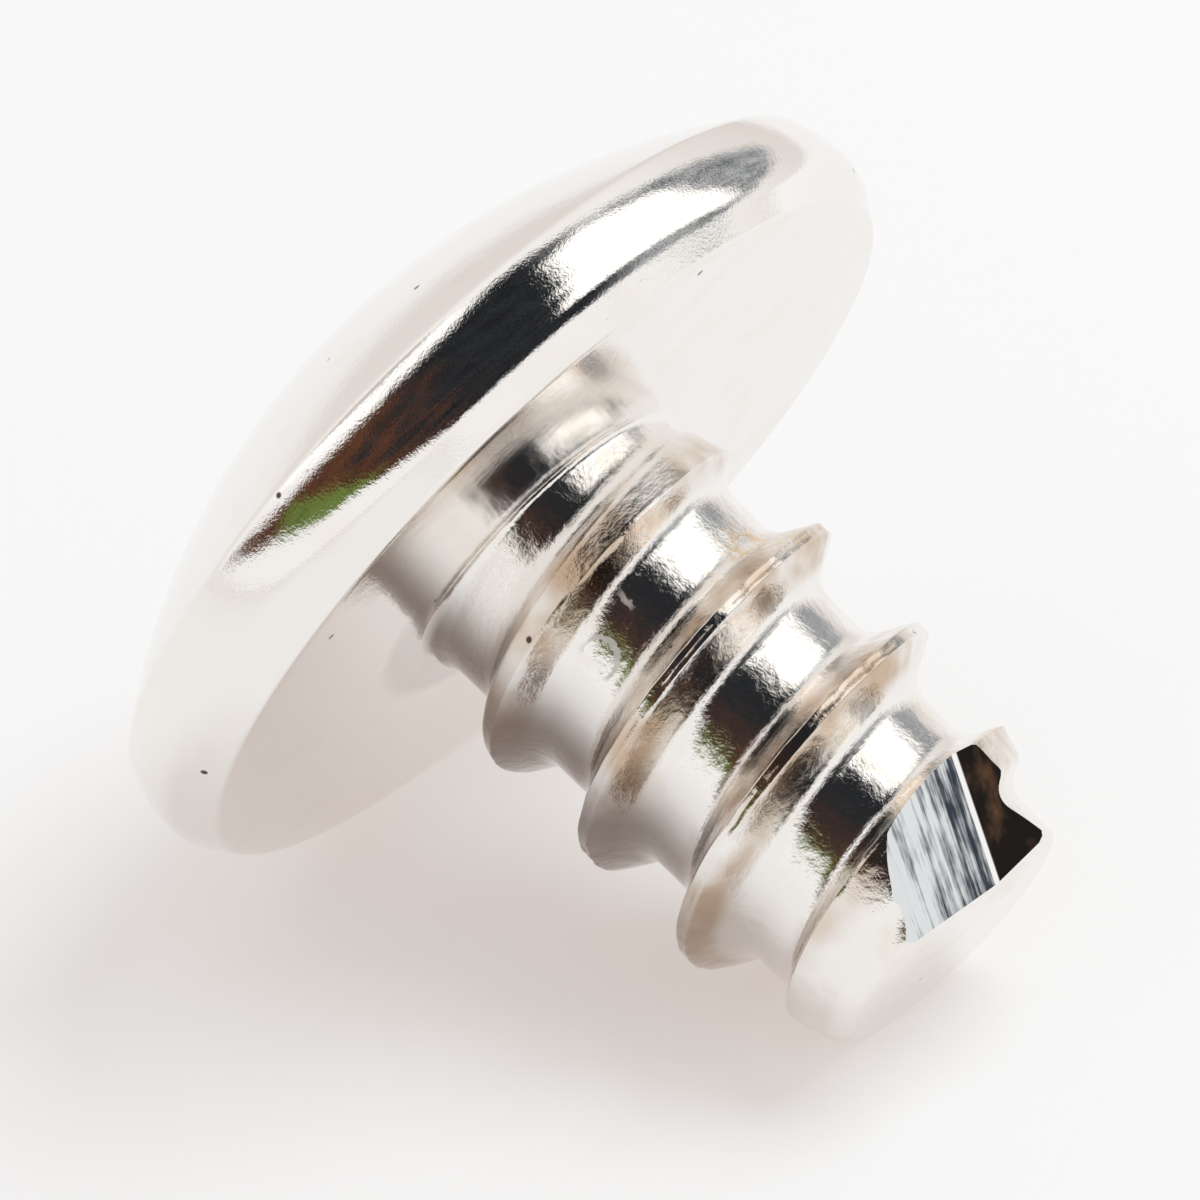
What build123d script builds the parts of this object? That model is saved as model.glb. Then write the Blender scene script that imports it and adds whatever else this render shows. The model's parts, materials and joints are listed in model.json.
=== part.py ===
from build123d import *
import os
from math import acos, atan2, cos, hypot, radians, sin, tan

# A self-tapping screw with a truss head, 4 x 6 mm: a low domed head with a cross recess, a coarse
# spaced thread along the whole shank, and a blunt end with one ground cutting notch. It is a single
# piece of headed and thread-rolled wire, bright plated all over. All lengths are in millimetres.
#
# It is modelled upright, on its own axis: the bearing face under the head lies on z = 0, the shank
# runs up to the end, and the head hangs below. The last step lays it down on its side.

# Head: a flat bearing face, a rounded rim and a shallow dome
head_d = 9.54  # over the rim
rim_round = 0.99  # radius of the rim's section
rim_under = 43.0  # degrees of that round between its widest circle and the bearing face
rim_over = 29.0  # degrees of it between its widest circle and the dome
dome_h = 1.64  # the dome alone, beyond the rim

# Cross recess, cut into the dome along the axis
recess_span = 4.3  # across opposite wings at the mouth
recess_floor_span = 1.6  # across opposite wings at the floor
recess_wing = 0.80  # width of a wing
recess_hub_d = 2.1  # the round middle, at the mouth
recess_floor_d = 1.1  # and at the floor
recess_depth = 2.0
recess_point_h = 0.25  # the small cone beyond the floor

# Shank: the thread's root tapers a little from the head to the end
length = 5.80  # bearing face to the end
neck_d = 3.22  # root at the bearing face
root_d = 2.90  # root at the end

# Thread: right-hand, one start
thread_d = 4.00  # over the crests
pitch = 1.41
first_crest = 0.75  # height of the lowest whole turn above the x axis
flank_angle = 28.0  # degrees between a flank and a plane square to the axis
crest_land = 0.12
root_fillet = 0.28
thread_sink = 0.02  # how deep the ridge's foot lies below the root

# Run-outs: the crests rise from the head, and fall away towards the end
run_in_d = 3.30  # over the crests at the bearing face
run_in_h = 1.30  # length of their rise
run_out_d = 3.16  # over the crests where the end's round begins
run_out_h = 1.30  # length of their fall
end_round = 0.28  # radius of the end's edge
end_flat = 0.05  # depth of the flat rubbed on that round, which keeps the screw from rolling
trim_clearance = 0.04

# Cutting notch: an open vee ground across one side of the end
notch_side = 0.26  # the vee's corner line passes the axis at this distance
notch_start = 0.77  # and starts at the end face, this far past the axis
notch_turn = -2.0  # degrees from the x axis to the side that it runs out on
notch_slope = 38.5  # degrees between the corner line and the axis
notch_wide = 1.0  # rise of the wide wall, in degrees
notch_steep = 33.0  # rise of the steep wall, in degrees
notch_corner = 0.08  # radius in the corner

head_r = head_d / 2
neck_r = neck_d / 2
root_r = root_d / 2
thread_r = thread_d / 2
run_in_r = run_in_d / 2
run_out_r = run_out_d / 2

# The rim's round, and where it meets the bearing face and the dome, as (radius, height)
rim_x = head_r - rim_round
rim_z = -rim_round * sin(radians(rim_under))
bearing_edge = (rim_x + rim_round * cos(radians(rim_under)), 0)
dome_edge = (
    rim_x + rim_round * cos(radians(rim_over)),
    rim_z - rim_round * sin(radians(rim_over)),
)
crown = (0, dome_edge[1] - dome_h)

# Centre of the end's round
end_x = run_out_r - end_round
run_out_z = length - end_round

# The ground under the screw as it lies: it touches the rim's round, and the flat is on it
across = rim_x - end_x
along = run_out_z - rim_z
tilt = acos((end_round - end_flat - rim_round) / hypot(across, along)) - atan2(along, across)
up = Vector(cos(tilt), 0, -sin(tilt))
ground = Plane(Vector(-end_x, 0, run_out_z) - (end_round - end_flat) * up, z_dir=up)

with BuildPart() as screw:
    # Shank, down to the root of the thread. Its foot is inside the head.
    with BuildSketch(Plane.XZ):
        Polygon((0, rim_z), (neck_r, rim_z), (neck_r, 0), (root_r, length), (0, length), align=None)
    revolve(axis=Axis.Z)

    # Thread: one ridge with rounded feet, swept up a helix from inside the head to past the end
    thread_start = first_crest - pitch
    foot_r = root_r - thread_sink
    foot_z = crest_land / 2 + (thread_r - foot_r) * tan(radians(flank_angle))
    foot_end_z = foot_z + root_fillet * tan(radians(90 - flank_angle) / 2) + thread_sink
    with BuildLine(Plane.XY.offset(thread_start)) as helix:
        Helix(pitch, length + pitch / 2 - thread_start, thread_r)
    with BuildSketch(Plane.XZ) as ridge:
        with Locations((0, thread_start)):
            Polygon(
                (foot_r - root_fillet, -foot_end_z),
                (foot_r, -foot_end_z),
                (foot_r, -foot_z),
                (thread_r, -crest_land / 2),
                (thread_r, crest_land / 2),
                (foot_r, foot_z),
                (foot_r, foot_end_z),
                (foot_r - root_fillet, foot_end_z),
                align=None,
            )
        fillet(ridge.vertices().group_by(Axis.X)[1].sort_by(Axis.Y)[1:3], root_fillet)
    sweep(path=helix.line, is_frenet=True)

    # Run-outs: an outline that leaves the full thread free, and trims the ridge near both ends
    free_r = thread_r + trim_clearance
    rise = run_in_h / (thread_r - run_in_r)
    fall = run_out_h / (thread_r - run_out_r)
    with BuildSketch(Plane.XZ):
        with BuildLine():
            Polyline(
                (end_x, length),
                (0, length),
                (0, dome_edge[1]),
                (run_in_r, dome_edge[1]),
                (run_in_r, 0),
                (free_r, rise * (free_r - run_in_r)),
                (free_r, run_out_z - fall * (free_r - run_out_r)),
                (run_out_r, run_out_z),
            )
            CenterArc((end_x, run_out_z), end_round, 0, 90)
        make_face()
    revolve(axis=Axis.Z, mode=Mode.INTERSECT)

    # Head
    with BuildSketch(Plane.XZ):
        with BuildLine():
            Line((0, 0), bearing_edge)
            rim = CenterArc((rim_x, rim_z), rim_round, rim_under, -rim_under - rim_over)
            TangentArc(crown, rim @ 1, tangent=(1, 0))
            Line(crown, (0, 0))
        make_face()
    revolve(axis=Axis.Z)

    # Cross recess: two crossing wings around a tapered hub, with a small cone at the bottom
    mouth_z = crown[1]
    floor_z = mouth_z + recess_depth
    for turn in (0, 90):
        with BuildSketch(Plane.XZ.rotated((0, 0, turn))):
            Polygon(
                (-recess_span / 2, mouth_z),
                (recess_span / 2, mouth_z),
                (recess_floor_span / 2, floor_z),
                (-recess_floor_span / 2, floor_z),
                align=None,
            )
        extrude(amount=recess_wing / 2, both=True, mode=Mode.SUBTRACT)
    with BuildSketch(Plane.XZ):
        Polygon(
            (0, mouth_z),
            (recess_hub_d / 2, mouth_z),
            (recess_floor_d / 2, floor_z),
            (0, floor_z + recess_point_h),
            align=None,
        )
    revolve(axis=Axis.Z, mode=Mode.SUBTRACT)

    # Cutting notch: the vee's section lies square to its corner line and runs both ways along it
    run = Plane.XY.offset(length).rotated((0, 0, notch_turn))
    corner = run.from_local_coords((notch_start, -notch_side, 0))
    way = Vector(sin(radians(notch_slope)), 0, -cos(radians(notch_slope)))
    way = run.from_local_coords(way) - run.origin
    with BuildSketch(Plane(origin=corner, x_dir=run.y_dir, z_dir=way)) as vee:
        Polygon(
            (0, 0),
            (thread_d, thread_d * tan(radians(notch_wide))),
            (thread_d, 2 * thread_d),
            (-thread_d, 2 * thread_d),
            (-thread_d, thread_d * tan(radians(notch_steep))),
            align=None,
        )
        fillet(vee.vertices().sort_by(Axis.Y)[0], notch_corner)
    extrude(amount=thread_d, both=True, mode=Mode.SUBTRACT)

    # Flat
    with BuildSketch(ground):
        Circle(root_r)
    extrude(amount=-end_round, mode=Mode.SUBTRACT)

# Laid on its side, with the end towards +X: the rim and the flat stand on z = 0 together, and the
# origin is below the middle of the whole.
lying = Plane((0, 0, 0), x_dir=(sin(tilt), 0, cos(tilt)), z_dir=(cos(tilt), 0, -sin(tilt)))
screw.part.move(lying.location)
box = screw.part.bounding_box()
screw.part.move(Location((-box.center().X, -box.center().Y, -box.min.Z)))

screw.part.label = "screw"
os.makedirs("parts", exist_ok=True)
export_step(screw.part, "parts/screw.step")
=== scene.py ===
import json
import math

import bpy
from mathutils import Matrix, Vector, noise


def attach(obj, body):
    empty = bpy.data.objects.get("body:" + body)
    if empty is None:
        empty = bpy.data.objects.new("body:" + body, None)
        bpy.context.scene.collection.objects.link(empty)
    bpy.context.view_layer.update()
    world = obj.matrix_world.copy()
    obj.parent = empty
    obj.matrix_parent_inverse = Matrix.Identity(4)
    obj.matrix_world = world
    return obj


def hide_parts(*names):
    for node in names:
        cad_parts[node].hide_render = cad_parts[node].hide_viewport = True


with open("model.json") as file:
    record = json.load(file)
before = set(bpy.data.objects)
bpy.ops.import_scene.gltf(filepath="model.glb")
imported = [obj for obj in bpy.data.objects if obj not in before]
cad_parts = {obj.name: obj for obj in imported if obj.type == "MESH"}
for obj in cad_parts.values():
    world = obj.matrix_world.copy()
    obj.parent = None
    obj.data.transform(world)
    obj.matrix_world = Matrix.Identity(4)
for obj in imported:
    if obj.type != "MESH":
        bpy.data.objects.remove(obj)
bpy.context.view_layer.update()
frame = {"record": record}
bpy.ops.object.select_all(action="DESELECT")


# ---------------------------------------------------------------------------
# Head. A truss head, upset cold from the steel wire: flat below, a round rim, a shallow dome.
# It is worked upright in millimetres, with the flat face on z = 0 and the dome below it.
head_r = 4.77
face_r = 4.504
rim_wide_z = -0.561  # height of the widest circle
rim_tight = 0.544  # radius of the rim's round above that circle
rim_cone = math.radians(34)  # where it ends in a short cone, up to the flat face
rim_slack = 1.484  # radius of the round below, down to the dome
rim_over = math.radians(23.6)
dome_h = 1.64
edge_round = 0.05  # tumbled corners between the faces
head_steps = 288  # steps round the head
close = 1e-4  # corners nearer than this are one


def draw(name, points):
    """A profile in the xz plane, drawn point by point."""
    bpy.ops.mesh.primitive_plane_add(size=1, location=(0, 0, 0))
    piece = bpy.context.object
    piece.name = name
    bpy.ops.object.mode_set(mode="EDIT")
    bpy.ops.mesh.select_all(action="SELECT")
    bpy.ops.mesh.merge(type="CENTER")
    bpy.ops.mesh.select_all(action="SELECT")
    bpy.ops.transform.translate(value=(points[0][0], 0, points[0][1]))
    for (x0, z0), (x1, z1) in zip(points, points[1:]):
        bpy.ops.mesh.extrude_region_move(TRANSFORM_OT_translate={"value": (x1 - x0, 0, z1 - z0)})
    return piece


def arc(centre, radius, start, end, steps):
    """Points on a circle, both ends included. Angles are from +x towards +z."""
    turns = [start + (end - start) * k / steps for k in range(steps + 1)]
    return [(centre[0] + radius * math.cos(a), centre[1] + radius * math.sin(a)) for a in turns]


def line(start, end, steps):
    """Points between two ends, both ends included."""
    parts = [k / steps for k in range(steps + 1)]
    return [(start[0] + (end[0] - start[0]) * t, start[1] + (end[1] - start[1]) * t) for t in parts]


def turn_round(steps):
    """Turns the drawn profile once round the axis, and closes it."""
    bpy.ops.mesh.select_all(action="SELECT")
    bpy.ops.mesh.spin(steps=steps, angle=math.tau, center=(0, 0, 0), axis=(0, 0, 1))
    bpy.ops.mesh.select_all(action="SELECT")
    bpy.ops.mesh.remove_doubles(threshold=close)
    bpy.ops.mesh.normals_make_consistent(inside=False)
    bpy.ops.object.mode_set(mode="OBJECT")


# From the flat face over the cone and the tight round to the widest circle, then the slack round.
rim_arc = arc((head_r - rim_tight, rim_wide_z), rim_tight, rim_cone, 0, 14)[:-1]
rim_arc += arc((head_r - rim_slack, rim_wide_z), rim_slack, 0, -rim_over, 16)
rim_arc = line((face_r, 0), rim_arc[0], 5)[:-1] + rim_arc
dome_foot = rim_arc[-1]
crown = dome_foot[1] - dome_h
dome_r = (dome_foot[0] ** 2 + dome_h**2) / (2 * dome_h)
dome_half = math.asin(dome_foot[0] / dome_r)
dome_arc = arc((0, crown + dome_r), dome_r, -math.pi / 2 + dome_half, -math.pi / 2, 40)

head = draw("head", line((0, 0), rim_arc[0], 30) + rim_arc[1:] + dome_arc[1:])
bpy.ops.mesh.select_all(action="DESELECT")
bpy.ops.object.mode_set(mode="OBJECT")
for corner in head.data.vertices:
    at = (corner.co.x, corner.co.z)
    corner.select = math.dist(at, rim_arc[0]) < close or math.dist(at, dome_foot) < close
bpy.ops.object.mode_set(mode="EDIT")
bpy.ops.mesh.bevel(offset=edge_round, segments=4, affect="VERTICES")
turn_round(head_steps)


# ---------------------------------------------------------------------------
# Cross recess, punched into the dome as the head is formed: four tapered wings round a hub.
# A truss head screw of this size takes a number 2 driver.
recess_span = 4.3
recess_floor_span = 1.6
recess_wing = 0.80
recess_hub_r = 1.05
recess_floor_r = 0.55
recess_depth = 2.0
recess_point_h = 0.25  # the small cone beyond the floor
recess_hub_steps = 48
punch_run = 0.6  # how far the punch stands out of the dome


def cut_away(piece, tool, how="DIFFERENCE"):
    """A tool's form taken from the piece, or joined to it."""
    bpy.ops.object.select_all(action="DESELECT")
    piece.select_set(True)
    bpy.context.view_layer.objects.active = piece
    bpy.ops.object.modifier_add(type="BOOLEAN")
    cut = piece.modifiers[-1]
    cut.operation = how
    cut.solver = "EXACT"
    cut.material_mode = "TRANSFER"
    cut.object = tool
    bpy.ops.object.modifier_apply(modifier=cut.name)
    bpy.data.objects.remove(tool)


wing_slope = (recess_span - recess_floor_span) / 2 / recess_depth
for turn in (0, math.pi / 2):
    bpy.ops.mesh.primitive_cube_add(size=1, location=(0, 0, crown + (recess_depth - punch_run) / 2))
    punch = bpy.context.object
    across = recess_span + 2 * wing_slope * punch_run
    punch.dimensions = (across, recess_wing, recess_depth + punch_run)
    bpy.ops.object.transform_apply(location=True, rotation=False, scale=True)
    for corner in punch.data.vertices:
        if corner.co.z > crown + recess_depth / 2:
            corner.co.x *= recess_floor_span / across
    punch.rotation_euler.z = turn
    bpy.ops.object.transform_apply(location=False, rotation=True, scale=False)
    cut_away(head, punch)
hub_slope = (recess_hub_r - recess_floor_r) / recess_depth
punch = draw(
    "hub_punch",
    [
        (0, crown - punch_run),
        (recess_hub_r + hub_slope * punch_run, crown - punch_run),
        (recess_floor_r, crown + recess_depth),
        (0, crown + recess_depth + recess_point_h),
    ],
)
turn_round(recess_hub_steps)
cut_away(head, punch)


# ---------------------------------------------------------------------------
# Shank. One start of coarse right-hand thread, rolled into the wire between two dies.
# The dies leave the crests low next to the head and at the end, and a little ragged all along.
length = 5.8
neck_r = 1.61  # root at the bearing face
root_r = 1.45  # root at the end
thread_r = 2.0
pitch = 1.41
first_crest = 0.75
flank = math.radians(28)
crest_land = 0.12
crest_round = 0.03
crest_seam = 0.02  # depth of the seam that rolling folds into the crest
root_fillet = 0.28
run_in_r, run_in_h = 1.65, 1.30  # the crests' rise from the head
run_out_r, run_out_h = 1.58, 1.30  # and their fall towards the end
end_round = 0.28
head_fillet = 0.10
fillet_step = 15  # degrees from ring to ring of that fillet
ragged_depth = 0.035  # how far the crests wander
ragged_grain, ragged_fine_grain = 1.7, 6  # waves in a millimetre
outline_depth = 0.004  # how far the dies' outline wanders
outline_grain = 5
outline_soft = 0.015  # how softly the crests meet that outline
thread_steps = 216  # steps in one turn
thread_turns = 7
shank_foot = -0.25  # inside the head
cut_close = 1e-5  # a plane cuts no edge nearer than this to one of its corners
shank_close = 5e-4  # corners of the shank nearer than this are one
sliver = 1e-3  # edges shorter than this go

crest_at = (
    thread_r - crest_round,
    crest_round * (1 - math.sin(flank)) / math.cos(flank) - crest_land / 2,
)
crest_arc = arc(crest_at, crest_round, flank - math.pi / 2, 0, 4)
flank_top = crest_arc[0]
fillet_turn = math.pi / 2 - flank
fillet_high = root_fillet * (1 - math.sin(flank))
fillet_long = root_fillet * math.cos(flank)
flank_foot_r = root_r + fillet_high
flank_foot_z = flank_top[1] - (flank_top[0] - flank_foot_r) * math.tan(flank)
fillet_z = flank_foot_z - fillet_long
lower = line((root_r, -pitch / 2), (root_r, fillet_z), 9)[:-1]
lower += arc((root_r + root_fillet, fillet_z), root_fillet, math.pi, math.pi - fillet_turn, 8)
lower += line((flank_foot_r, flank_foot_z), flank_top, 6)[1:]
lower += crest_arc[1:]
upper = [(x, -z) for x, z in reversed(lower)]
start_z = first_crest - 2 * pitch
seam = [(thread_r - crest_seam, 0)]
shank = draw("shank", [(x, z + start_z) for x, z in lower + seam + upper])
plated = bpy.data.materials.new("bright_nickel")
shank.data.materials.append(plated)
head.data.materials.append(plated)
bpy.ops.object.mode_set(mode="OBJECT")
bpy.ops.object.modifier_add(type="SCREW")
rolling = shank.modifiers[-1]
rolling.axis = "Z"
rolling.angle = math.tau
rolling.screw_offset = pitch
rolling.iterations = thread_turns
rolling.steps = rolling.render_steps = thread_steps
bpy.ops.object.modifier_apply(modifier=rolling.name)

# Rings of corners for the fillet under the head.
bpy.ops.object.mode_set(mode="EDIT")
for ring_turn in range(0, 91, fillet_step):
    ring_z = head_fillet * (1 - math.sin(math.radians(ring_turn)))
    bpy.ops.mesh.select_all(action="SELECT")
    bpy.ops.mesh.bisect(plane_co=(0, 0, ring_z), plane_no=(0, 0, 1), threshold=cut_close)
bpy.ops.object.mode_set(mode="OBJECT")


def outline(z):
    """How far out the dies reach at this height."""
    run_in = run_in_r + (thread_r - run_in_r) * z / run_in_h
    top = length - end_round
    run_out = run_out_r + (thread_r - run_out_r) * (top - z) / run_out_h
    reach = min(max(run_in, run_in_r), run_out, thread_r)
    if z > top:
        rise = min(z - top, end_round)
        reach = run_out_r - end_round + math.sqrt(end_round**2 - rise**2)
    return reach


def wander(place, grain):
    """Smooth noise round 0, the same on each run."""
    return noise.noise([value * grain for value in place])


# The root tapers from the head to the end, the crests wander and keep within the dies' outline,
# and the foot flares into its fillet.
for corner in shank.data.vertices:
    x, y, z = corner.co
    reach = math.hypot(x, y)
    full = (reach - root_r) / (thread_r - root_r)  # 0 at the root, 1 at the crest
    reach += (1 - full) * (neck_r - root_r) * (1 - min(max(z, 0), length) / length)
    ragged = wander(corner.co, ragged_grain) + 0.5 * wander(corner.co, ragged_fine_grain)
    reach += ragged_depth * ragged * max(full, 0) ** 3
    room = outline(z) + outline_depth * wander(corner.co, outline_grain)
    reach = (reach + room - math.hypot(reach - room, outline_soft)) / 2
    if z < head_fillet:
        below = min(head_fillet - z, head_fillet)
        reach += head_fillet - math.sqrt(head_fillet**2 - below**2)
    turn = math.atan2(y, x)
    corner.co = (reach * math.cos(turn), reach * math.sin(turn), z)

# Trimmed square at the end and inside the head.
bpy.ops.object.mode_set(mode="EDIT")
bpy.ops.mesh.select_all(action="SELECT")
bpy.ops.mesh.remove_doubles(threshold=shank_close)
for trim_z in (length, shank_foot):
    bpy.ops.mesh.select_all(action="SELECT")
    bpy.ops.mesh.bisect(
        plane_co=(0, 0, trim_z),
        plane_no=(0, 0, 1),
        use_fill=True,
        clear_outer=trim_z > 0,
        clear_inner=trim_z < 0,
        threshold=cut_close,
    )
bpy.ops.mesh.select_all(action="SELECT")
bpy.ops.mesh.normals_make_consistent(inside=False)
bpy.ops.object.mode_set(mode="OBJECT")


# ---------------------------------------------------------------------------
# Cutting notch, ground across one side of the end after rolling. The wheel leaves one wide wall
# and one steep one, scored along the cut, and a small radius in the corner between them.
notch_side = 0.26  # the corner line passes the axis at this distance
notch_start = 0.77  # and starts at the end face, this far past the axis
notch_turn = math.radians(-2.0)
notch_slope = math.radians(38.5)  # between the corner line and the axis
notch_wide = math.radians(1.0)  # rise of the wide wall
notch_steep = math.radians(33.0)  # rise of the steep wall
notch_corner = 0.08
wheel_reach = 4.0  # from the corner line to the wheel's edges
score_step = 0.04
score_depth = 0.009
score_share = 0.4  # of that depth, on the steep wall
score_grain, score_steep_grain = 21, 13  # lines in a millimetre


def score_line(reach, depth, grain, seed):
    """How far the wheel stands off its wall, this far from the corner."""
    return depth * noise.noise((reach * grain, *seed)) * min(1, reach)


corner_wide = notch_corner * math.tan((notch_wide + notch_steep) / 2)
wide_wall = []
reach = wheel_reach
while reach > corner_wide + score_step:
    off = score_line(reach, score_depth, score_grain, (3.1, 0.7))
    wide_wall.append((reach * math.cos(notch_wide), reach * math.sin(notch_wide) + off))
    reach -= score_step
steep_wall = []
reach = corner_wide + score_step
while reach < wheel_reach:
    off = score_line(reach, score_share * score_depth, score_steep_grain, (8.3, 0.2))
    steep_wall.append((-reach * math.cos(notch_steep), reach * math.sin(notch_steep) + off))
    reach += score_step
round_centre = (
    corner_wide * math.cos(notch_wide) - notch_corner * math.sin(notch_wide),
    corner_wide * math.sin(notch_wide) + notch_corner * math.cos(notch_wide),
)
corner_arc = arc(
    round_centre,
    notch_corner,
    -math.pi / 2 + notch_wide,
    -math.pi / 2 - notch_steep,
    6,
)
wheel_right = (wheel_reach, 2 * wheel_reach)
wheel_left = (-wheel_reach, 2 * wheel_reach)
wheel = draw(
    "wheel", [wheel_right] + wide_wall + corner_arc + steep_wall + [wheel_left, wheel_right]
)
bpy.ops.mesh.select_all(action="SELECT")
bpy.ops.mesh.remove_doubles(threshold=cut_close)
bpy.ops.mesh.select_all(action="SELECT")
bpy.ops.mesh.edge_face_add()
bpy.ops.transform.translate(value=(0, wheel_reach, 0))
bpy.ops.mesh.extrude_region_move(TRANSFORM_OT_translate={"value": (0, -2 * wheel_reach, 0)})
bpy.ops.mesh.select_all(action="SELECT")
bpy.ops.mesh.normals_make_consistent(inside=False)
bpy.ops.object.mode_set(mode="OBJECT")
ground = bpy.data.materials.new("ground_nickel")
wheel.data.materials.append(ground)
run = Vector((math.cos(notch_turn), math.sin(notch_turn), 0))
side = Vector((-math.sin(notch_turn), math.cos(notch_turn), 0))
start = Vector((0, 0, length)) + notch_start * run - notch_side * side
way = math.sin(notch_slope) * run - math.cos(notch_slope) * Vector((0, 0, 1))


def turned(x_way, y_way, z_way, at, parts=1):
    """The matrix that sets a piece to three directions and a place, and divides its size."""
    return Matrix(
        (
            (x_way.x / parts, y_way.x / parts, z_way.x / parts, at.x),
            (x_way.y / parts, y_way.y / parts, z_way.y / parts, at.y),
            (x_way.z / parts, y_way.z / parts, z_way.z / parts, at.z),
            (0, 0, 0, 1),
        )
    )


wheel.matrix_world = turned(side, -way, way.cross(side), start)
bpy.ops.object.transform_apply(location=True, rotation=True, scale=True)
cut_away(shank, wheel)

# Head and shank are one piece of metal, with no slivers left where they join.
cut_away(shank, head, "UNION")
bpy.ops.object.mode_set(mode="EDIT")
bpy.ops.mesh.select_all(action="SELECT")
bpy.ops.mesh.dissolve_degenerate(threshold=sliver)
bpy.ops.object.mode_set(mode="OBJECT")
screw = shank
screw.name = "plated_screw"

# Laid on its side where the part's record puts its seat and axis, from millimetres to metres.
seat = next(m for m in frame["record"]["mounts"] if m["name"] == "under_head")
seat_at = Vector(seat["pos_m"])
axis = Vector(seat["axis"]).normalized()
top = Vector((-axis.z, 0, axis.x))
left = axis.cross(top)
laid = Matrix((top, left, axis)).transposed()  # turns an upright direction to the lying one
screw.matrix_world = turned(top, left, axis, seat_at, 1000)
bpy.ops.object.select_all(action="DESELECT")
screw.select_set(True)
bpy.context.view_layer.objects.active = screw
bpy.ops.object.transform_apply(location=True, rotation=True, scale=True)

# The end is rubbed flat where it lies. Corners sharper than smooth_under stay sharp.
for corner in screw.data.vertices:
    corner.co.z = max(corner.co.z, 0)
smooth_under = math.radians(32)
bpy.ops.object.shade_smooth_by_angle(angle=smooth_under)


# ---------------------------------------------------------------------------
# Finish. Bright nickel over steel. The plate copies the wire's drawn and rolled skin, so it is
# near a mirror on the head, and rippled with fine seams along the thread.
class Number:
    """A number in a material. Python's operators on it add Math nodes."""

    def __init__(self, finish, socket):
        self.finish = finish
        self.socket = socket

    def math(self, operation, *others):
        """A Math node on this number and others."""
        values = dict(enumerate((self, *others)))
        return self.finish.node("ShaderNodeMath", {"operation": operation}, values)

    def __add__(self, other):
        return self.math("ADD", other)

    def __sub__(self, other):
        return self.math("SUBTRACT", other)

    def __rsub__(self, other):
        return self * -1 + other

    def __mul__(self, other):
        return self.math("MULTIPLY", other)

    def __truediv__(self, other):
        return self.math("DIVIDE", other)

    __radd__ = __add__
    __rmul__ = __mul__


class Finish:
    """A material, or the world, with one method that adds its nodes."""

    def __init__(self, owner):
        owner.use_nodes = True
        self.owner = owner
        self.tree = owner.node_tree
        self.tree.nodes.clear()

    def node(self, kind, settings, inputs, output=0):
        """One node: its settings first, then the values or links of its sockets."""
        made = self.tree.nodes.new(kind)
        for name, value in settings.items():
            setattr(made, name, value)
        for name, value in inputs.items():
            if isinstance(value, Number):
                self.tree.links.new(value.socket, made.inputs[name])
            else:
                made.inputs[name].default_value = value
        return Number(self, made.outputs[output]) if len(made.outputs) else None


nickel = Finish(plated)
spot = nickel.node("ShaderNodeTexCoord", {}, {}, "Object")  # in metres


def measure(finish, place, direction):
    """How far a place lies along one direction."""
    dot = {"operation": "DOT_PRODUCT"}
    return finish.node("ShaderNodeVectorMath", dot, {0: place, 1: direction}, "Value")


from_seat = nickel.node("ShaderNodeVectorMath", {"operation": "SUBTRACT"}, {0: spot, 1: seat_at})
height = measure(nickel, from_seat, axis) * 1000
out_x = measure(nickel, from_seat, top) * 1000
out_y = measure(nickel, from_seat, left) * 1000
radius = (out_x * out_x + out_y * out_y).math("SQRT")
angle = out_y.math("ARCTAN2", out_x) / math.tau


def ramp(value, low, high, finish=nickel):
    """From 0 at low to 1 at high, eased at both ends."""
    ease = {"interpolation_type": "SMOOTHSTEP"}
    inputs = {"Value": value, "From Min": low, "From Max": high}
    return finish.node("ShaderNodeMapRange", ease, inputs)


def grain(scale, detail=2.0, place=spot, rough=0.55, finish=nickel):
    """Noise between 0 and 1, with this many grains in one unit of the place."""
    inputs = {"Vector": place, "Scale": scale, "Detail": detail, "Roughness": rough}
    return finish.node("ShaderNodeTexNoise", {}, inputs, "Fac")


def mix(low, high, amount, finish=nickel):
    """One colour going over to another."""
    inputs = {"Factor": amount, 6: low, 7: high}
    return finish.node("ShaderNodeMix", {"data_type": "RGBA"}, inputs, 2)


# Seams run along the turns of the thread. The rest of the skin has no direction.
on_thread = ramp(radius, 2.35, 2.1) * ramp(height, -0.05, 0.1)
turn_height = height - angle * pitch
seam_inputs = {0: turn_height * 16, 1: angle * 3.0, 2: radius * 3}
seam_place = nickel.node("ShaderNodeCombineXYZ", {}, seam_inputs)
seams = grain(1.0, 4.0, seam_place, 0.6)
skin = grain(9000, 5.0, rough=0.66)
pores = grain(34000, 2.0)
waves = grain(3200, 2.0)
blotch = ramp(grain(1500, 2.0), 0.52, 0.66)
around = angle * math.tau * root_r  # millimetres round the root, as height is along it


def near(at_height, at_around):
    """Millimetres over the shank's skin from one place on it."""
    up = height - at_height
    aside = around - at_around
    return (up * up + aside * aside).math("SQRT")


# Two nicks from tumbling, and a patch near the second crest where the plate has grown rough.
straight = (around + skin * 0.16 - 1.02).math("ABSOLUTE")
straight = ramp(straight, 0.040, 0.018) * ramp(height, 1.12, 1.18) * ramp(height, 1.56, 1.46)
curled = (near(1.60, 1.50) + skin * 0.12 - 0.26).math("ABSOLUTE")
curled = ramp(curled, 0.036, 0.016) * ramp(around, 1.66, 1.54)
nicks = (straight + curled) * ramp(radius, 1.62, 1.56)
grown = ramp(near(1.78, -0.42), 0.50, 0.20) * on_thread

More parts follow.
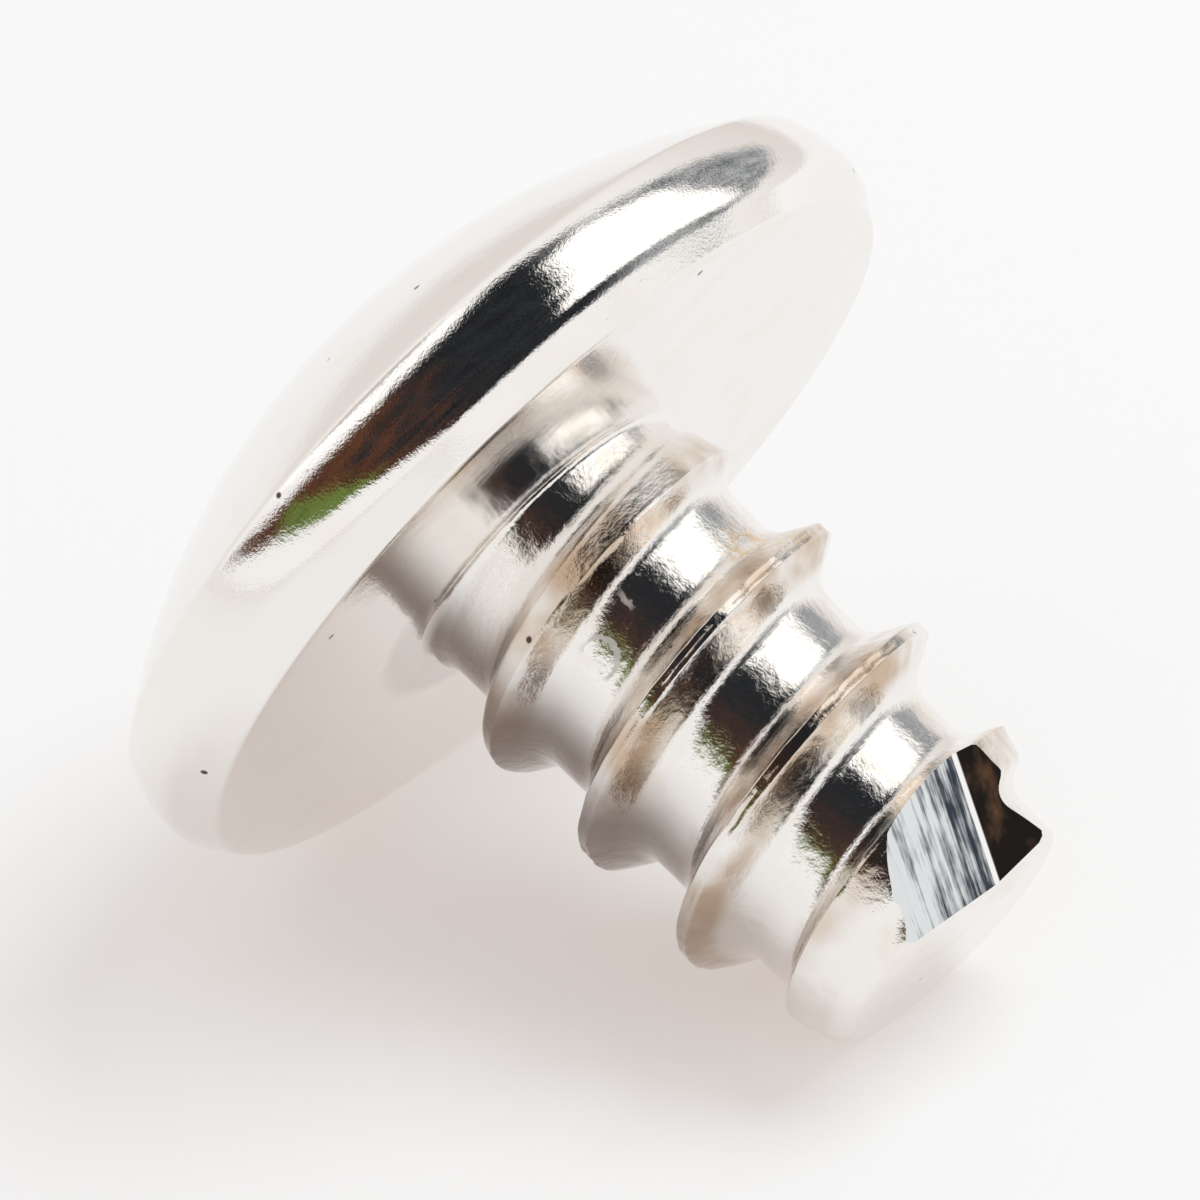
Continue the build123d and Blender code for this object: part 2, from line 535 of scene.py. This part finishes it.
relief = waves * (0.5 + on_thread * 1.6) + skin * (0.20 + on_thread * 0.95 + grown * 3.0)
relief = relief + seams * on_thread * 0.5 + pores * (0.22 + on_thread * 0.10)
bumped = nickel.node(
    "ShaderNodeBump", {}, {"Strength": 1.0, "Distance": 6e-6, "Height": relief}, "Normal"
)
dull = 0.02 + blotch * 0.03 + nicks * 0.6

# A golden tint on the flanks is painted reflection of the warm, shaded floor they mirror, and a
# grey tint on the lower side of the thread is painted shade, stronger towards the head. A few
# specks of dust are caught in the plate.
flanks = ramp(height, 0.3, 0.8) * ramp(radius, 1.60, 1.80) * ramp(radius, 2.04, 1.96)
# Painted reflection: a patchy golden tint on the flanks.
warm_reflection = flanks * ramp(grain(1400, 2.0), 0.30, 0.70)
# Painted shade: the lower side of the thread goes grey, more so towards the head.
underside_shade = ramp(angle, 0.18, 0.29) * on_thread * ramp(height, 5.6, 2.5)
speck = nickel.node("ShaderNodeTexVoronoi", {}, {"Vector": spot, "Scale": 1100}, "Distance")
speck = ramp(speck, 0.05, 0.03)
clear_plate = (0.91, 0.88, 0.85, 1)
cloudy_plate = (0.86, 0.80, 0.72, 1)
painted_warm_reflection = (0.60, 0.46, 0.34, 1)
painted_shade_grey = (0.24, 0.20, 0.18, 1)
rough_plate = (0.86, 0.68, 0.48, 1)
dust = (0.10, 0.07, 0.05, 1)
tint = mix(clear_plate, cloudy_plate, blotch * (0.2 + on_thread * 0.4))
# Then the painted reflection on the flanks and the painted shade on the lower side.
tint = mix(tint, painted_warm_reflection, warm_reflection)
tint = mix(tint, painted_shade_grey, underside_shade * 0.9)
tint = mix(tint, rough_plate, grown * ramp(skin, 0.45, 0.60))
tint = mix(tint, dust, speck)
plate = nickel.node(
    "ShaderNodeBsdfPrincipled",
    {},
    {"Base Color": tint, "Metallic": 1.0, "Roughness": dull, "Normal": bumped},
    "BSDF",
)
nickel.node("ShaderNodeOutputMaterial", {}, {"Surface": plate})

# The notch's walls have the same plate over the wheel's score lines, darkened in streaks by painted
# reflections, with a painted highlight making the corner between them bright.
walls = Finish(ground)
wall_spot = walls.node("ShaderNodeTexCoord", {}, {}, "Object")
corner_at = seat_at + laid @ start / 1000
subtract = {"operation": "SUBTRACT"}
from_corner = walls.node("ShaderNodeVectorMath", subtract, {0: wall_spot, 1: corner_at})
across_cut = measure(walls, from_corner, laid @ side) * 1000
along_cut = measure(walls, from_corner, laid @ way) * 1000
lines = walls.node("ShaderNodeCombineXYZ", {}, {0: across_cut * 11, 1: along_cut * 0.5})
score = grain(1.0, 4.0, lines, 0.65, finish=walls)
# Noise that lays out the painted reflections on both walls.
reflection_noise_inputs = {0: across_cut * 3.5, 1: along_cut * 1.5, 2: 4.0}
reflection_noise_place = walls.node("ShaderNodeCombineXYZ", {}, reflection_noise_inputs)
reflection_noise = grain(1.0, 3.0, reflection_noise_place, 0.6, finish=walls)
steep = ramp(across_cut, -0.015, -0.03, walls)
# Painted highlight along the corner between the walls.
corner_line = ramp(across_cut.math("ABSOLUTE"), 0.035, 0.02, walls)
# Painted reflection: dark blue streaks on the wide wall.
painted_dark_streaks = ramp(reflection_noise * 0.6 + score - along_cut * 0.05 - across_cut * 0.22, 0.52, 0.80, walls)
# Painted reflection: the steep wall is painted near black, with brown patches.
brown_reflection_patches = ramp(reflection_noise, 0.50, 0.75, walls)
ground_grey = (0.74, 0.76, 0.77, 1)
# The next three colours are painted reflections, and the fourth a painted highlight.
painted_blue_reflection = (0.035, 0.045, 0.06, 1)
painted_black_reflection = (0.015, 0.013, 0.012, 1)
painted_brown_reflection = (0.11, 0.06, 0.035, 1)
painted_corner_highlight = (0.95, 0.94, 0.92, 1)
wide_tint = mix(ground_grey, painted_blue_reflection, painted_dark_streaks, walls)
steep_tint = mix(painted_black_reflection, painted_brown_reflection, brown_reflection_patches, walls)
wall_tint = mix(wide_tint, steep_tint, steep, walls)
wall_tint = mix(wall_tint, painted_corner_highlight, corner_line, walls)
scored = walls.node(
    "ShaderNodeBump", {}, {"Strength": 1.0, "Distance": 3e-6, "Height": score}, "Normal"
)
wall = walls.node(
    "ShaderNodeBsdfPrincipled",
    {},
    {"Base Color": wall_tint, "Metallic": 1.0, "Roughness": 0.10, "Normal": scored},
    "BSDF",
)
walls.node("ShaderNodeOutputMaterial", {}, {"Surface": wall})
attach(screw, "root")
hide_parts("screw")


# ---------------------------------------------------------------------------
# Camera, with a long lens, from in front and above. The screw lies across the view with its head
# at the far upper left and its end near, at the lower right.
view_azimuth = math.radians(41.7)
view_elevation = math.radians(33.6)
view_roll = math.radians(2.3)
view_distance = 0.1
view_right = 0.00051  # from the seat to the middle of the view
view_down = 0.000665

back = Vector(
    (
        math.sin(view_azimuth) * math.cos(view_elevation),
        -math.cos(view_azimuth) * math.cos(view_elevation),
        math.sin(view_elevation),
    )
)
level = Vector((math.cos(view_azimuth), math.sin(view_azimuth), 0))
rise = back.cross(level)
right = math.cos(view_roll) * level - math.sin(view_roll) * rise
upward = math.sin(view_roll) * level + math.cos(view_roll) * rise
camera = bpy.data.objects.new("camera", bpy.data.cameras.new("camera"))
bpy.context.collection.objects.link(camera)
camera.data.lens = 300
camera.data.sensor_width = 36
camera.data.clip_start = 0.001
camera.data.clip_end = 5
aim = seat_at + view_right * right - view_down * upward
camera.matrix_world = turned(right, upward, back, aim + view_distance * back)
bpy.context.scene.camera = camera
bpy.context.scene.view_settings.view_transform = "Standard"


# ---------------------------------------------------------------------------
# Floor: a sheet of matt white acrylic, lit a little from beneath, so the shadow on it is light and
# warm. It reaches far past the screw on all sides.
floor_side = 1.2
bpy.ops.mesh.primitive_plane_add(size=floor_side, location=(0, 0, 0))
floor = bpy.context.object
floor.name = "floor"
acrylic = Finish(bpy.data.materials.new("white_acrylic"))
matt = acrylic.node(
    "ShaderNodeBsdfPrincipled",
    {},
    {
        "Base Color": (0.48, 0.56, 0.60, 1),
        "Roughness": 0.9,
        "Specular IOR Level": 0.1,
        "Emission Color": (0.46, 0.38, 0.34, 1),
        "Emission Strength": 1.0,
    },
    "BSDF",
)
acrylic.node("ShaderNodeOutputMaterial", {}, {"Surface": matt})
floor.data.materials.append(acrylic.owner)


# ---------------------------------------------------------------------------
# Light: a white tent all round with a soft window high on the right. The tent is open towards the
# camera, and the plate mirrors the dark room there, with a few brown and green things in it.
across_view = (right + upward).normalized()
along_view = (right - upward).normalized()

tent = Finish(bpy.data.worlds.new("tent"))
bpy.context.scene.world = tent.owner
seen = tent.node("ShaderNodeLightPath", {}, {}, "Is Camera Ray")
mirrored = tent.node("ShaderNodeLightPath", {}, {}, "Is Glossy Ray")
look = tent.node("ShaderNodeTexCoord", {}, {}, "Generated")
toward_back = measure(tent, look, back)
toward_across = measure(tent, look, across_view)
ragged = grain(9.0, 4.0, look, 0.7, finish=tent) - 0.5
patchy = grain(7.0, 5.0, look, 0.75, finish=tent)
fleck = grain(30.0, 4.0, look, 0.8, finish=tent)

# Each direction in the tent is a turn round the screw from the camera and a tip along it towards
# its end, both in degrees, with ragged edges.
turn = toward_across.math("ARCTAN2", toward_back) * math.degrees(1) + ragged * 12
tip = measure(tent, look, along_view).math("ARCSINE") * math.degrees(1) + ragged * 9


def over(value, edge, soft=2.5):
    """1 where a value is over an edge, with a soft step."""
    return ramp(value - edge, -soft, soft, tent)


# Each over() is one edge of the tent's mouth, or of what is seen through it or beside it.
left_edge = (turn * 0.26 - 24).math("MAXIMUM", turn * 0.66).math("MAXIMUM", turn * 1.6 + 30)
mouth = over(left_edge, tip) * over(33, tip) * over(155, tip + turn * 1.29, 4)
mouth = mouth * over(tip, -60) * over(tip, turn * -0.13 - 61) * over(tip, turn * 0.74 - 106, 4)
window = over(turn * 0.18 + 4, tip) * over(turn + tip * 0.28, 41) * over(turn + tip * 0.62, 32)
window = window * over(97, turn - tip * 0.1) * over(121, turn - tip) * over(tip, -44)
strip_long = over(turn, -85) * over(45, turn, 8)
strip = over(tip, -71) * over(-61, tip) * strip_long
fold = over(-71, tip) * over(tip, -84, 5) * strip_long
hazy = over(turn + tip * 0.2, 62, 12)
green = over(tip + 13, left_edge) * over(-20, turn, 4) * over(turn, -58)
brown = over(12, turn, 12) * over(patchy + turn * -0.004, 0.53, 0.03) * over(fleck, 0.47, 0.06)

# The dark room, then what stands in it.
room_black = (0.006, 0.006, 0.008, 1)
room_grey = (0.06, 0.068, 0.075, 1)
room_brown = (0.15, 0.062, 0.032, 1)
room_green = (0.17, 0.26, 0.06, 1)
haze_pale = (0.75, 0.78, 0.80, 1)
haze_dark = (0.02, 0.025, 0.035, 1)
window_white = (1.3, 1.29, 1.26, 1)
room = mix(room_black, room_grey, over(fleck, 0.54, 0.08), tent)
room = mix(room, room_brown, brown, tent)
room = mix(room, room_green, green * over(fleck, 0.45, 0.08), tent)
haze = mix(haze_pale, haze_dark, over(fleck, 0.49, 0.03), tent)
room = mix(room, haze, hazy, tent)
room = mix(room, window_white, window, tent)

# The cloth round it, with a bright strip and a fold.
cloth_white = (0.97, 0.965, 0.96, 1)
cloth_rear = (0.78, 0.73, 0.70, 1)
strip_white = (1.2, 1.2, 1.2, 1)
fold_grey = (0.62, 0.57, 0.54, 1)
rear = ramp(toward_back, 0.1, -0.95, tent)
pale = mix(cloth_white, cloth_rear, rear, tent)
pale = mix(pale, strip_white, strip, tent)
pale = mix(pale, fold_grey, fold, tent)
pale = mix(pale, room, mouth, tent)

# The plate mirrors all that. The floor gets an even light, and the camera sees plain white.
even_light = (0.62, 0.62, 0.62, 1)
cloth = mix(even_light, pale, mirrored, tent)
cloth = mix(cloth, cloth_white, seen, tent)
glow = tent.node("ShaderNodeBackground", {}, {"Color": cloth, "Strength": 1.0}, "Background")
tent.node("ShaderNodeOutputWorld", {}, {"Surface": glow})

# One lamp above the tent on the right, for the shadow. The plate doesn't mirror it.
key_turn = math.radians(80)  # round the screw from the camera
key_lift = 0.6  # and raised by this share
key_distance = 0.3
key = bpy.data.objects.new("key", bpy.data.lights.new("key", "AREA"))
bpy.context.collection.objects.link(key)
key.data.shape = "DISK"
key.data.size = 0.20
key.data.energy = 0.45
key.visible_glossy = False
key_way = math.cos(key_turn) * back + math.sin(key_turn) * across_view
key_way = (key_way + key_lift * Vector((0, 0, 1))).normalized()
key.location = aim + key_distance * key_way
key.rotation_mode = "QUATERNION"
key.rotation_quaternion = key_way.to_track_quat("Z", "Y")
